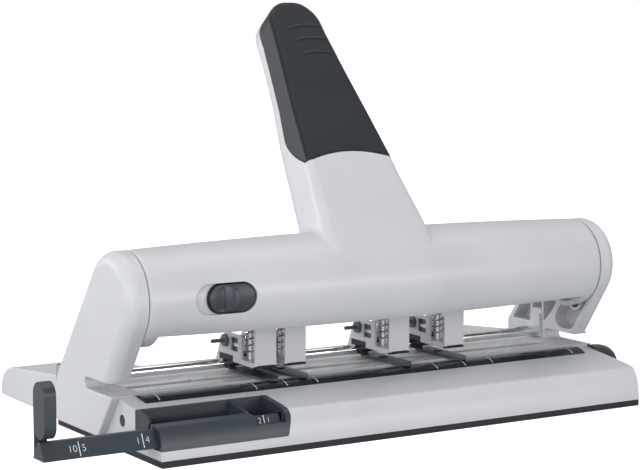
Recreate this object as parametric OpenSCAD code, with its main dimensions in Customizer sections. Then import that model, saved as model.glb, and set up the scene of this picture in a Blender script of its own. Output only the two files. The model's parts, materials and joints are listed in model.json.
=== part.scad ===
// Heavy duty four-hole paper punch with a long hand lever.
// X runs along the machine, the operator stands at -Y, and Z is up.
// The origin is the middle of the footprint, on the table.

/* [Base] */
// Length of the base housing along X
base_l = 308; // [290:1:350]
// Depth of the base housing from its front edge to its back edge
body_d = 126; // [124:1:150]
// Height of the flat deck that the paper slides over
deck_h = 28.7; // [26:0.1:36]
// Height of the bend where the front face turns into the deck
nose_h = 22; // [18:0.1:24]
// Wall of the moulded base housing
shell_wall = 2.4; // [1.6:0.1:3]
// Height of the dark bottom tray that forms the rim
rim_h = 2.7; // [2:0.1:5]
// Reach of the rear outriggers behind the base
tail_d = 80; // [40:1:110]
// Width of a rear outrigger along X
tail_w = 54; // [40:1:90]

/* [Side frames] */
// Thickness of each side frame along X
leg_t = 12; // [9:0.1:14]
// How far each side frame stands proud of the base end
leg_proud = 4.8; // [2:0.1:7]
// Height of the lever axis above the table
axis_h = 78.7; // [77:0.1:95]
// Distance of the lever axis from the front edge of the base
axis_f = 52; // [48:0.5:53]
// Height of the paper slot
slot_h = 6; // [5:0.1:7]
// Distance of the slot's closed end from the front edge
slot_end = 80.5; // [78:0.5:82]

/* [Lever] */
// Radius of the barrel at its ends
barrel_r_end = 25.4; // [25:0.1:27]
// Radius of the barrel at its middle
barrel_r_mid = 28.1; // [27:0.1:30]
// Wall of the barrel
barrel_wall = 3; // [2:0.1:3.2]
// Lean of the handle behind the vertical at rest, in degrees
handle_lean = 37.6; // [20:0.1:45]
// Reach of the handle's tip from the lever axis
handle_reach = 173; // [140:1:200]
// Half width of the handle where it meets the barrel
handle_half_root = 31.5; // [24:0.5:40]
// Half width of the handle at its rounded tip
handle_half_tip = 15.8; // [12:0.1:20]
// Thickness of the handle
handle_t = 23.5; // [18:0.5:26]
// Depth of the grip pad's wrap over the handle's sides
grip_wrap = 15.5; // [8:0.5:18]
// Thickness of the soft grip pad
grip_t = 2.2; // [1.5:0.1:4]

/* [Punch heads] */
// Centres of the four heads along X, from left to right
head_x = [-64.2, -45.5, 22.6, 60.3];
// Width of one head along X
head_w = 13.2; // [12.8:0.1:13.4]
// Distance of the punching line from the front edge of the base
punch_f = 68.5; // [67:0.1:69.5]
// Radius of a punch pin
pin_r = 2.75; // [2:0.05:2.9]
// Stroke of the pins
stroke = 10.5; // [8:0.1:10.6]
// Radius of the chrome rail that the heads slide on
rail_r = 3; // [2.5:0.1:3.2]
// Distance of the rail's centre from the front edge of the base
rail_f = 87; // [86.5:0.5:90]

/* [Roller, tray and ruler] */
// Radius of the scale roller
roller_r = 12; // [10:0.1:12.2]
// Distance of the roller's centre from the front edge
roller_f = 45; // [44:0.1:46]
// Length of the storage tray along the front edge
tray_l = 75; // [60:1:90]
// Distance of the paper stop from the machine's middle, as set
stop_x = 210; // [190:1:240]
// Height of the ruler bar
ruler_h = 9; // [7:0.1:9.2]
// Width of the ruler bar
ruler_w = 13; // [9:0.1:13.5]
// Height of the paper stop above the ruler
paddle_h = 28.5; // [20:0.5:34]
// Thickness of the paper stop
paddle_t = 6.5; // [4:0.1:8]

/* [Hidden] */

$fn = 64;
fine = 96;
coarse = 32;

// Clearances that several pieces share
run = 0.05;
slide = 0.3;
cut = 1;

light = [0.79, 0.79, 0.8];
pale = [0.85, 0.85, 0.87];
dark = [0.2, 0.23, 0.26];
black = [0.06, 0.06, 0.07];
chrome = [0.7, 0.71, 0.73];

front_y = (body_d + tail_d) / 2;
half_l = base_l / 2;
leg_out = half_l + leg_proud;
leg_in = leg_out - leg_t;

// A side view, drawn as (distance behind the front edge, height), made solid from x0 to x1
module side_slab(x0, x1) {
    translate([x0, -front_y, 0])
        rotate([90, 0, 90])
            linear_extrude(x1 - x0)
                children();
}

// A round bar or bore along X at a place of the side view
module bar_x(x0, x1, at_f, at_z, r, fn = $fn) {
    translate([x0, at_f - front_y, at_z])
        rotate([0, 90, 0])
            cylinder(h = x1 - x0, r = r, $fn = fn);
}

// A block between two corners, both given as [x, distance behind the front edge, z]
module block(a, b) {
    translate([a[0], a[1] - front_y, a[2]])
        cube([b[0] - a[0], b[1] - a[1], b[2] - a[2]]);
}

// Points of an arc, of a quarter ellipse from rising to running back, and of an outline with
// its corners rounded
function arc(c, r, a0, a1, n) =
    [for (i = [0:n]) [c[0] + r * cos(a0 + (a1 - a0) * i / n), c[1] + r * sin(a0 + (a1 - a0) * i / n)]];
function quarter(f0, z0, df, dz, n) =
    [for (i = [0:n]) [f0 + df * (1 - cos(90 * i / n)), z0 + dz * sin(90 * i / n)]];
function softened(pts, r) = let(n = len(pts)) [for (i = [0:n - 1]) let(
    a = pts[(i + n - 1) % n],
    b = pts[i],
    c = pts[(i + 1) % n],
    ra = min(r, norm(a - b) / 2.2),
    rc = min(r, norm(c - b) / 2.2),
    p = b + (a - b) / norm(a - b) * ra,
    q = b + (c - b) / norm(c - b) * rc
) for (k = [0:4]) let(t = k / 4) (1 - t) * (1 - t) * p + 2 * t * (1 - t) * b + t * t * q];
function placed(shares, df, dz) = [for (p = shares) [p[0] * df, p[1] * dz]];

// Roller and its window
roller_z = deck_h - roller_r - slide / 3;
roller_gap = 0.5;
roller_half = leg_in - shell_wall;
axle_r = 3.2;
window_half_share = 0.67;
lip_drop = 2.7;
knob_r = 12.3;
knob_l = 13.6;
knob_tip_r = 8.2;
knob_flat = 3;

// Ruler and its tunnel
ruler_f = 3.3;
ruler_z = 10;
ruler_ridge_share = 0.47;
ruler_end = 82;
ruler_travel = 105;
tunnel_gap = 0.4;
tunnel_end = 26;
ridge_w = 3;
neck_w = 1.8;
neck_gap = 0.3;
paddle_w = 13.4;
paddle_f = 1.7;
paddle_lift = 1.5;

function ruler_outline(g) = [
    [ruler_f - 1.4 * g, ruler_z - g],
    [ruler_f + ruler_w + 1.4 * g, ruler_z - g],
    [ruler_f + ruler_w * ruler_ridge_share + ridge_w / 2, ruler_z + ruler_h + 1.2 * g],
    [ruler_f + ruler_w * ruler_ridge_share - ridge_w / 2, ruler_z + ruler_h + 1.2 * g]
];

// Base housing: convex front, sloping top, flat deck with a rounded back edge
nose_df = 7.5;
bend_f = 12;
bend_rise = 1;
back_r = 8;
lip_f = roller_f - roller_r * window_half_share;
rear_lip_f = roller_f + roller_r * window_half_share;
cavity_f = 60;

base_outline = concat(
    quarter(0, rim_h, nose_df, nose_h - rim_h, 10),
    [[bend_f, nose_h + bend_rise], [lip_f, deck_h - lip_drop], [rear_lip_f, deck_h]],
    arc([body_d - back_r, deck_h - back_r], back_r, 90, 0, 8),
    [[body_d, rim_h]]
);

// Storage tray in the front left of the base
tray_x0 = -half_l;
tray_x1 = tray_x0 + tray_l;
tray_f1 = 30;
tray_slant = 9;
tray_z0 = 8.4;
tray_wall = 1.8;
tray_block_f = 13;
neck_f = tray_block_f + neck_gap;
tray_block_z = 20;
tray_floor = 10.9;
pocket_f = 17.9;
divider_x = -110;
divider_slant = 8;
window_x0 = -98;
window_x1 = -84.4;
tray_corner = 5;
tray_gap = 0.15;
tray_turn = 20;
tray_side = [tray_x1 - tray_corner * (1 - cos(tray_turn)), tray_corner * (1 - sin(tray_turn))];

module tray_plan(g) {
    polygon(concat(
        [[tray_x0 - g, tray_f1 - g], [tray_x0 - g, -cut]],
        [[tray_x1 - tray_corner - g, -cut]],
        arc([tray_x1 - tray_corner - g, tray_corner], tray_corner, -90, -tray_turn, 5),
        [[tray_x1 - tray_slant - g, tray_f1 - g]]
    ));
}

module tray_space(g) {
    translate([0, -front_y, tray_z0 + g])
        linear_extrude(deck_h)
            tray_plan(g);
}

// Side frame outline: a C-shaped arm over the paper slot, with a round head at the lever axis
arm_f = 51.8;
foot_f0 = 46.9;
foot_f1 = 65;
foot_z = 5;
back_f = 117;
back_z = 36;
slot_top = deck_h + slot_h;
graze_share = 0.998;

function tangent(p, r, side) = let(
    d = norm([axis_f - p[0], axis_h - p[1]]),
    a = atan2(axis_h - p[1], axis_f - p[0]) + side * asin(r / d),
    t = sqrt(d * d - r * r)
) [p[0] + t * cos(a), p[1] + t * sin(a)];

side_outline = [
    [foot_f1, foot_z], [foot_f0, deck_h], [arm_f, slot_top],
    tangent([arm_f, slot_top], barrel_r_end * graze_share, 1),
    [axis_f, axis_h],
    tangent([back_f, back_z], barrel_r_end * graze_share, -1),
    [back_f, back_z], [back_f, foot_z]
];

module base_shell() color(light) {
    difference() {
        side_slab(-half_l, half_l) polygon(base_outline);
        // chip chamber under the deck
        block([-leg_in + shell_wall, cavity_f, 0],
            [leg_in - shell_wall, body_d - back_r, deck_h - plate_t - shell_wall]);
        tray_space(0);
        // window and trough of the scale roller, with its axle bores
        block([-roller_half, lip_f, deck_h / 2], [roller_half, rear_lip_f, deck_h + cut]);
        bar_x(-roller_half, roller_half, roller_f, roller_z, roller_r + roller_gap, fine);
        bar_x(-half_l - cut, half_l + cut, roller_f, roller_z, axle_r + run);
        side_slab(tray_x1 - tray_slant - cut, tunnel_end) polygon(ruler_outline(tunnel_gap));
        // seat of the deck strips and the chute between them
        block([-plate_half, plate_f0, deck_h - plate_t], [plate_half, plate_f1, deck_h + cut]);
        block([-plate_half + shell_wall, chip_f0 - chute_step, 0],
            [plate_half - shell_wall, chip_f1 + chute_step, deck_h]);
        // side frames are let into both ends
        for (s = [-1, 1])
            side_slab(s > 0 ? leg_in : -half_l - cut, s > 0 ? half_l + cut : -leg_in) polygon(side_outline);
        for (s = [-1, 1])
            for (f = screw_f)
                bar_x(s > 0 ? leg_in - shell_wall - cut : -leg_in - cut,
                    s > 0 ? leg_in + cut : -leg_in + shell_wall + cut,
                    f, screw_z, screw_r + run, coarse);
    }
}

// Two bright strips let into the deck, with the slot that the chips fall through between them
plate_t = 1.5;
plate_f0 = 55.5;
plate_f1 = 104;
plate_half = 140;
chip_f0 = punch_f - 3.7;
chip_f1 = punch_f + 3.7;
chute_step = 3;

module front_deck_strip() color(chrome)
    block([-plate_half, plate_f0, deck_h - plate_t], [plate_half, chip_f0, deck_h]);

module rear_deck_strip() color(chrome)
    block([-plate_half, chip_f1, deck_h - plate_t], [plate_half, plate_f1, deck_h]);

// Rear outriggers: hollow tapering feet behind both ends of the base
tail_top = deck_h - 1.1;
tail_slope = 5.4;
tail_bottom = rim_h + 1.3;
tail_run = 18;
tail_end_z = 6.7;
tail_f1 = body_d + tail_d;

function tail_outline(g) = concat(
    [[body_d + g, tail_bottom - (g > 0 ? cut + g : 0)], [body_d + g, tail_top - g]],
    [for (i = [0:8]) [tail_f1 - tail_run + (tail_run - g) * sin(90 * i / 8),
        tail_end_z + (tail_top - tail_slope - tail_end_z - g) * cos(90 * i / 8)]],
    [[tail_f1 - g, tail_bottom - (g > 0 ? cut + g : 0)]]
);

module rear_outriggers() color(light) {
    for (s = [-1, 1]) {
        x0 = s > 0 ? half_l - tail_w : -half_l;
        difference() {
            side_slab(x0, x0 + tail_w) polygon(tail_outline(0));
            side_slab(x0 + shell_wall, x0 + tail_w - shell_wall) polygon(tail_outline(shell_wall));
        }
        // boss that the rubber foot is pressed on
        translate([x0 + tail_w / 2, tail_f1 - tail_run - front_y, tail_bottom])
            cylinder(h = tail_end_z, r = foot_r);
        block([x0 + tail_w / 2 - shell_wall, body_d, tail_bottom],
            [x0 + tail_w / 2 + shell_wall, tail_f1 - tail_run, tail_top - tail_slope - shell_wall / 2]);
    }
}

foot_r = 8;

module rubber_feet() color(black) {
    for (s = [-1, 1])
        translate([s * (half_l - tail_w / 2), tail_f1 - tail_run - front_y, 0])
            cylinder(h = tail_bottom, r1 = foot_r - rim_h / 2, r2 = foot_r);
}

// Bottom tray, whose dark rim shows all round
tray_bottom = 1.5;

module bottom_tray() color(dark) {
    difference() {
        block([-half_l, 0, 0], [half_l, body_d, rim_h]);
        block([-half_l + shell_wall, shell_wall, tray_bottom],
            [half_l - shell_wall, body_d - shell_wall, rim_h + cut]);
    }
}

// Storage tray insert: a covered block over the ruler and an open pocket behind it
module storage_tray() color(dark) {
    difference() {
        intersection() {
            side_slab(-half_l, half_l) polygon(base_outline);
            tray_space(tray_gap);
        }
        // the top steps down in front, and the pocket opens behind it
        block([-half_l - cut, 0, tray_block_z], [half_l, tray_block_f, deck_h]);
        difference() {
            side_slab(tray_x0 + tray_wall, tray_x1) polygon([
                [tray_block_f, deck_h], [tray_block_f, tray_block_z - tray_wall],
                [pocket_f, tray_floor + tray_wall], [pocket_f, tray_floor],
                [tray_f1 - tray_wall, tray_floor], [tray_f1 - tray_wall, deck_h]
            ]);
            translate([tray_x1 - tray_slant - tray_wall, tray_f1 - front_y, 0])
                rotate([0, 0, atan2(tray_side[1] - tray_f1, tray_side[0] - tray_x1 + tray_slant)])
                    cube([2 * tray_f1, tray_wall * 2, deck_h]);
            translate([divider_x, tray_block_f - front_y, 0])
                rotate([0, 0, atan2(tray_f1 - tray_block_f, divider_slant)])
                    cube([tray_f1, tray_wall, deck_h]);
        }
        side_slab(-half_l - cut, tray_x1 + cut) polygon(ruler_outline(tunnel_gap));
        // slot that the stop's neck runs in, and the window over the size marks
        block([-half_l - cut, tray_block_f, ruler_z + neck_gap],
            [-stop_x + ruler_travel + neck_gap, neck_f + neck_w + neck_gap, deck_h]);
        block([window_x0, ruler_f + ruler_w / 5, ruler_z + ruler_h / 2],
            [window_x1, tray_block_f + cut, deck_h]);
    }
}

// Paper guide: a bar of trapezium section with the stop on its end
module ruler() color(dark)
    side_slab(-stop_x, -ruler_end) polygon(ruler_outline(0));

module paper_stop() color(dark) {
    z0 = ruler_z + ruler_h + paddle_lift;
    mid = paddle_f + paddle_w / 2;
    x0 = -stop_x - paddle_t;
    side_slab(x0, -stop_x) {
        translate([mid, z0 + paddle_w / 2])
            circle(d = paddle_w);
        translate([paddle_f, z0 + paddle_w / 2])
            square([paddle_w, paddle_h - paddle_w]);
        translate([mid, z0 + paddle_h - paddle_w / 2])
            circle(d = paddle_w);
        polygon(ruler_outline(0));
        translate([neck_f, ruler_z])
            square([neck_w, z0 + paddle_w / 2 - ruler_z]);
    }
}

// Side frames. Outside they are smooth; inside, ribs stand between open pockets
skin = 2.6;
front_pocket_share = [[0.43, 0.474], [0.529, 0.474], [0.565, 0.541], [0.517, 0.647], [0.484, 0.716],
    [0.449, 0.698], [0.413, 0.694], [0.377, 0.698], [0.341, 0.716], [0.314, 0.732]];
corner_pocket_share = [[0.645, 0.489], [0.645, 0.985], [0.606, 1.066], [0.604, 0.985], [0.586, 0.87],
    [0.556, 0.798], [0.516, 0.745], [0.536, 0.689], [0.576, 0.6]];
channel_before = 3.84;
channel_behind = 5.295;
channel_rise = 0.1829;
channel_share = [0.803, 0.955];
channel_f0 = rail_f - channel_before;
channel_f1 = rail_f + channel_behind;
channel_z0 = deck_h + channel_rise;
frame_behind = 39;
frame_d = rail_f + frame_behind;
back_pocket_share = [[0.7485, 0.476], [0.888, 0.476], [0.7485, 0.768]];
boss_f = 7;
boss_wall = 1.8;
boss_drop = 22.4;
pocket_r = 4;
screw_f = [76, 104];
screw_z = 14;
screw_r = 1.8;
screw_head_r = 3.4;
screw_head_h = 2.2;
screw_l = 8;
stud_r = 6;
stud_reach = 15.5;
stud_seat = 7;

module leg_pockets() {
    difference() {
        polygon(softened(placed(front_pocket_share, frame_d, axis_h), pocket_r));
        translate([axis_f, axis_h - boss_drop])
            circle(r = boss_f);
    }
    polygon(softened(placed(corner_pocket_share, frame_d, axis_h), pocket_r / 2));
    polygon([
        [channel_f0, channel_z0],
        [channel_f1, channel_z0],
        [channel_f1, channel_share[0] * axis_h],
        [channel_f0, channel_share[1] * axis_h]
    ]);
    polygon(softened(placed(back_pocket_share, frame_d, axis_h), pocket_r / 2));
}

module side_frame(s) {
    x0 = s > 0 ? leg_in : -leg_out;
    x1 = s > 0 ? leg_out : -leg_in;
    difference() {
        union() {
            side_slab(x0, x1) polygon(side_outline);
            bar_x(x0, x1, axis_f, axis_h, barrel_r_end, fine);
        }
        // paper slot with a rounded end
        block([x0 - cut, 0, deck_h], [x1 + cut, slot_end - slot_h / 2, slot_top]);
        bar_x(x0 - cut, x1 + cut, slot_end - slot_h / 2, deck_h + slot_h / 2, slot_h / 2, coarse);
        side_slab(s > 0 ? x0 - cut : x0 + skin, s > 0 ? x1 - skin : x1 + cut) leg_pockets();
        side_slab(s > 0 ? x0 - cut : x0 + skin, s > 0 ? x1 - skin : x1 + cut)
            translate([axis_f, axis_h - boss_drop])
                circle(r = boss_f - boss_wall);
        bar_x(s > 0 ? x0 - cut : x1 - stud_seat, s > 0 ? x0 + stud_seat : x1 + cut,
            axis_f, axis_h, stud_r + run);
        for (f = screw_f)
            bar_x(s > 0 ? x0 - cut : x1 - screw_l, s > 0 ? x0 + screw_l : x1 + cut,
                f, screw_z, screw_r + run, coarse);
        if (s > 0)
            bar_x(half_l, x1 + cut, roller_f, roller_z, knob_r + roller_gap);
    }
}

module left_side_frame() color(light) side_frame(-1);
module right_side_frame() color(light) side_frame(1);

module frame_screws() color(chrome)
    for (s = [-1, 1])
        for (f = screw_f) {
            a = s * (leg_in - shell_wall - screw_head_h);
            b = s * (leg_in - shell_wall);
            c = s * (leg_in + screw_l - cut);
            bar_x(min(a, b), max(a, b), f, screw_z, screw_head_r, coarse);
            bar_x(min(b, c), max(b, c), f, screw_z, screw_r, coarse);
        }

// Pivot studs that carry the lever and guide the press yoke
module pivot_studs() color(chrome)
    for (s = [-1, 1]) {
        a = s * (leg_in - stud_reach);
        b = s * (leg_in + stud_seat);
        bar_x(min(a, b), max(a, b), axis_f, axis_h, stud_r);
    }

// Chrome rail and the stepped blocks that hold its ends in the frames' channels
rail_z = deck_h + 4;
rail_seat = 6;
block_f0 = channel_f0 + 2 * run;
block_f1 = channel_f1 - 2 * run;
block_z0 = channel_z0 + 2 * run;
block_top = 13.4;
block_step = 3;
block_proud = 1.6;

module head_rail() color(chrome)
    bar_x(-leg_in - rail_seat, leg_in + rail_seat, rail_f, rail_z, rail_r);

module rail_blocks() color(pale)
    for (s = [-1, 1])
        difference() {
            union() {
                a = s * leg_in;
                b = s * (leg_in + leg_t - skin);
                block([min(a, b), block_f0, block_z0],
                    [max(a, b), block_f1, rail_z + block_top]);
                c = s * (leg_in - block_proud);
                block([min(a, c), block_f0, block_z0],
                    [max(a, c), block_f1, rail_z + block_top - block_step]);
            }
            bar_x(s > 0 ? leg_in - 2 * block_proud : -leg_in - rail_seat - run,
                s > 0 ? leg_in + rail_seat + run : -leg_in + 2 * block_proud, rail_f, rail_z, rail_r + run);
        }

// Scale roller on its axle, with a domed knob at the right-hand end
roller_end_gap = 0.4;

module scale_roller() color(dark) {
    bar_x(-roller_half + roller_end_gap, roller_half - roller_end_gap, roller_f, roller_z, roller_r, fine);
    bar_x(-half_l + roller_end_gap, half_l + knob_l / 2, roller_f, roller_z, axle_r);
}

module roller_knob() color(black)
    difference() {
        translate([half_l + slide, roller_f - front_y, roller_z])
            rotate([0, 90, 0])
                rotate_extrude($fn = fine)
                    polygon(concat(
                        [[0, 0], [knob_r, 0]],
                        [for (i = [0:8]) [knob_tip_r + (knob_r - knob_tip_r) * cos(90 * i / 8),
                            knob_flat + (knob_l - knob_flat) * sin(90 * i / 8)]],
                        [[0, knob_l]]
                    ));
        bar_x(half_l, half_l + knob_l / 2, roller_f, roller_z, axle_r);
    }

// Lever: a hollow barrel between the frames with the handle rising from it
barrel_end_gap = 0.5;
barrel_half = leg_in - barrel_end_gap;
end_wall = 3;
end_ring = 8;
opening_front = 225;
opening_back = 340;
handle_front = 26.75;
handle_root = 10;
root_flare = 3;
grip_s0 = 62.4;
grip_arch = 4.4;
lobe = 14;
rod_r = 3;
rod_arm = 16;
rod_angle = 19;
grip_ribs_share = [0.78, 0.843, 0.896];
grip_rib_r = 0.9;

function barrel_r(x) = barrel_r_mid - (barrel_r_mid - barrel_r_end) * pow(x / barrel_half, 2);

// Solid barrel of revolution, its radius reduced by g, over the middle length 2 * half
module barrel_body(g, half) {
    n = 12;
    translate([0, axis_f - front_y, axis_h])
        rotate([0, 90, 0])
            rotate_extrude($fn = fine)
                polygon(concat(
                    [[0, -half]],
                    [for (i = [0:n]) [barrel_r(-half + 2 * half * i / n) - g, -half + 2 * half * i / n]],
                    [[0, half]]
                ));
}

// Wedge about the lever axis from one angle to another, in the side view
module wedge(x0, x1, a0, a1, r)
    side_slab(x0, x1)
        translate([axis_f, axis_h])
            polygon(concat([[0, 0]], [
                for (i = [0:4]) [r * cos(a0 + (a1 - a0) * i / 4), r * sin(a0 + (a1 - a0) * i / 4)]
            ]));

// The handle is drawn upright on the lever axis and then leant back
module leant()
    translate([0, axis_f - front_y, axis_h])
        rotate([-handle_lean, 0, 0])
            children();

half_share = [[0.06, 1], [0.1, 0.995], [0.2, 0.936], [0.29, 0.907], [0.37, 0.873], [0.567, 0.745],
    [0.72, 0.613],
    [0.867, 0.5]];

function handle_half(t) = handle_half_tip + (handle_half_root - handle_half_tip) * (t - 0.5) / 0.5;

module handle_plan(g) {
    tip_s = handle_reach - handle_half_tip;
    polygon(concat(
        [for (p = half_share) [handle_half(p[1]) - g, p[0] * handle_reach]],
        [[handle_half_tip - g, tip_s], [-handle_half_tip + g, tip_s]],
        [for (i = [len(half_share) - 1:-1:0])
            [-handle_half(half_share[i][1]) + g, half_share[i][0] * handle_reach]]
    ));
    translate([0, tip_s])
        circle(r = handle_half_tip - g, $fn = fine);
}

module handle_body(g, y0, y1)
    translate([0, y1, 0])
        rotate([90, 0, 0])
            linear_extrude(y1 - y0)
                handle_plan(g);

// Room that the grip pad takes: front face, arched lower edge and rounded side lobes
module grip_room() {
    y1 = -handle_front + grip_wrap;
    intersection() {
        rotate([90, 0, 0])
            linear_extrude(2 * handle_front)
                difference() {
                    translate([-handle_half_root * 2, grip_s0])
                        square([handle_half_root * 4, handle_reach]);
                    translate([0, grip_s0])
                        scale([handle_half_root / grip_arch * 0.75, 1])
                            circle(r = grip_arch, $fn = fine);
                }
        translate([-handle_half_root * 2, 0, 0])
            rotate([90, 0, 90])
                linear_extrude(handle_half_root * 4)
                    polygon(concat(
                        [[-handle_front - cut, 0], [-handle_front + grip_t, 0],
                            [-handle_front + grip_t, grip_s0]],
                        [for (i = [0:6]) [-handle_front + grip_t + (grip_wrap - grip_t) * sin(90 * i / 6),
                            grip_s0 + lobe * (1 - cos(90 * i / 6))]],
                        [[y1, handle_reach + cut], [-handle_front - cut, handle_reach + cut]]
                    ));
    }
}

module lever_barrel() color(light) {
    y1 = -handle_front + handle_t;
    r_open = barrel_r_mid * 2;
    difference() {
        union() {
            barrel_body(0, barrel_half);
            leant() {
                difference() {
                    handle_body(0, -handle_front, y1);
                    grip_room();
                }
                handle_body(grip_t, -handle_front + grip_t, y1);
            }
        }
        barrel_body(barrel_wall, barrel_half - end_wall);
        // open underside, between the full rings at both ends
        wedge(-barrel_half + end_ring, barrel_half - end_ring, opening_front, opening_back, r_open);
        bar_x(-leg_in, leg_in, axis_f, axis_h, stud_r + run);
        slider_recess();
    }
}

module grip_pad() color(dark)
    leant() {
        difference() {
            intersection() {
                handle_body(0, -handle_front, 0);
                grip_room();
            }
            handle_body(grip_t, -handle_front + grip_t, handle_t);
        }
        for (p = grip_ribs_share)
            translate([-grip_t * 2, -handle_front + grip_rib_r / 2, p * handle_reach])
                rotate([0, 90, 0])
                    cylinder(h = handle_half_tip, r = grip_rib_r, $fn = 16);
    }

// Rod inside the barrel that presses the yoke down as the lever turns
module press_rod() color(chrome)
    bar_x(-barrel_half + end_wall, barrel_half - end_wall, axis_f - rod_arm * cos(rod_angle),
        axis_h + rod_arm * sin(rod_angle), rod_r);

// Press yoke: a folded channel with a slotted cheek at each end
yoke_t = 4;
yoke_top = axis_h + rod_arm * sin(rod_angle) - rod_r - slide;
yoke_half = leg_in - stud_reach - slide;
yoke_f0 = 36;
yoke_f1 = punch_f + yoke_t / 2;
cheek_t = 3;
cheek_half = 9;
cheek_top = 19.8;
cheek_low = 9.2;
guide_gap = 0.1;

module press_yoke() color(pale) {
    block([-yoke_half, yoke_f0, yoke_top - yoke_t], [yoke_half, yoke_f1, yoke_top]);
    block([-yoke_half, yoke_f1 - yoke_t, collar_top + 2 * run], [yoke_half, yoke_f1, yoke_top]);
    for (s = [-1, 1])
        difference() {
            union() {
                block([s > 0 ? yoke_half : -yoke_half - cheek_t, axis_f - cheek_half, axis_h - cheek_low],
                    [s > 0 ? yoke_half + cheek_t : -yoke_half, axis_f + cheek_half, axis_h + cheek_top]);
                block([s > 0 ? yoke_half : -yoke_half - cheek_t, axis_f - cheek_half, axis_h - cheek_low],
                    [s > 0 ? yoke_half + cheek_t : -yoke_half, yoke_f1, yoke_top]);
            }
            block([s > 0 ? yoke_half - cut : -yoke_half - cheek_t - cut, axis_f - stud_r - guide_gap,
                axis_h - stud_r - 2 * guide_gap],
                [s > 0 ? yoke_half + cheek_t + cut : -yoke_half + cut, axis_f + stud_r + guide_gap,
                axis_h + stud_r + stroke + 2 * guide_gap]);
        }
}

// Lock slider in a recess of the barrel's front
slider_x0 = -113.4;
slider_l = 28.4;
slider_h = 15.7;
slider_travel = 6.4;
recess_r = 24.2;
slider_face = 2.6;
ridge_h = 2.4;
ridge_r = 6.4;
ridge_shift = 3.6;
shank_w = 6;
plate_r0 = 21.7;
plate_wall = 1;

// Part of a tube about the lever axis, cut to a height on the front side
module front_tube(x0, x1, r0, r1, h)
    intersection() {
        difference() {
            bar_x(x0, x1, axis_f, axis_h, r1, fine);
            bar_x(x0 - cut, x1 + cut, axis_f, axis_h, r0, fine);
        }
        block([x0, axis_f - 2 * r1, axis_h - h / 2], [x1, axis_f, axis_h + h / 2]);
    }

// The same with round ends
module front_pill(x0, x1, r0, r1, h)
    intersection() {
        front_tube(x0, x1, r0, r1, h);
        union() {
            block([x0 + h / 2, axis_f - 2 * r1, axis_h - h / 2], [x1 - h / 2, axis_f, axis_h + h / 2]);
            for (x = [x0 + h / 2, x1 - h / 2])
                front_peg(x, 2 * r1, h / 2);
        }
    }

// A round bar that runs forward from the lever axis
module front_peg(x, l, r)
    translate([x, axis_f - front_y, axis_h])
        rotate([90, 0, 0])
            cylinder(h = l, r = r);

module slider_recess() {
    front_pill(slider_x0 - slider_travel - slide, slider_x0 + slider_l + slide, recess_r, barrel_r_mid + cut,
        slider_h + 2 * slide);
    mid = slider_x0 + slider_l / 2;
    front_tube(mid - shank_w / 2 - slider_travel - slide, mid + shank_w / 2 + slide, plate_r0,
        barrel_r_mid + cut, shank_w + 2 * slide);
}

module lock_slider() color(dark) {
    mid = slider_x0 + slider_l / 2;
    front_pill(slider_x0, slider_x0 + slider_l, recess_r + slide, recess_r + slider_face, slider_h);
    front_tube(mid - shank_w / 2, mid + shank_w / 2, plate_r0, recess_r + slider_face, shank_w);
    front_tube(mid - slider_face * 3, mid + slider_face * 3, plate_r0, plate_r0 + plate_wall,
        slider_h * 0.75);
    // crescent ridge for the thumb
    difference() {
        intersection() {
            front_tube(slider_x0, slider_x0 + slider_l, recess_r + slide,
                recess_r + slider_face + ridge_h, slider_h);
            front_peg(mid - ridge_shift / 2, 2 * barrel_r_mid, ridge_r);
        }
        front_peg(mid - ridge_shift / 2 - ridge_shift, 2 * barrel_r_mid, ridge_r + slide);
    }
}

// Punch heads
head_half = head_w / 2;
wall_t = 1.4;
foot_t = 1.2;
foot_top = deck_h + slide + foot_t;
lip_z = slot_top;
lip_t = 1.3;
base_t = 1.3;
bed_z = lip_z + lip_t + base_t;
head_f0 = 52;
head_front_z = 58;
wall_f = 67.4;
wall_rise = 15.9;
wall_top = lip_z + wall_rise;
wall_back_share = [[1.118, 0.652], [1.046, 0.911], [0.985, 1]];
window_f0 = 71.5;
window_f1 = 79.8;
window_rise = 6.2;
window_h = 7.7;
window_z0 = lip_z + window_rise;
window_z1 = window_z0 + window_h;
clip_f0 = 77;
clip_f1 = 92.4;
clip_over = 0.7;
clip_rise = 5.5;
clip_z0 = rail_z + clip_over;
clip_z1 = rail_z + clip_rise;
stem_w = 4;
die_f0 = 42;
die_half = 5.4;
die_gap = 0.1;
pointer_w = 1;
pointer_l = 6;
collar_r = 4.2;
collar_h = 2.3;
collar_top = 61.8;
pin_clear = 0.5;
pin_tip = slot_top + pin_clear;
dish = 1;
knob_f = 84.7;
knob_rise = 11.2;
knob_z = lip_z + knob_rise;
peg_r = 1.1;
// the second head stands close to the first, so its peg is short
peg_l = [7.4, 3.2, 7.4, 7.4];
peg_room = 0.6;
peg_flange_r = 2.3;
disc_r = 3.5;
disc_t = 1.9;
wire_r = 0.6;
coil_r = pin_r + wire_r + slide;
curls = 5;

// Outline of a head's side wall: a low bar in front, and behind it a plate that straddles the rail
module wall_outline() {
    back = placed(wall_back_share, rail_f, wall_top);
    difference() {
        polygon(concat(
            [[head_f0, bed_z], [head_f0, lip_z], [slot_end, lip_z], [slot_end, back[0][1]]],
            back,
            [[wall_f, wall_top], [wall_f, bed_z]]
        ));
        polygon(softened([[window_f0, window_z0], [window_f1, window_z0], [window_f1, window_z1],
            [window_f0, window_z1]], pocket_r / 4));
    }
}

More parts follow.
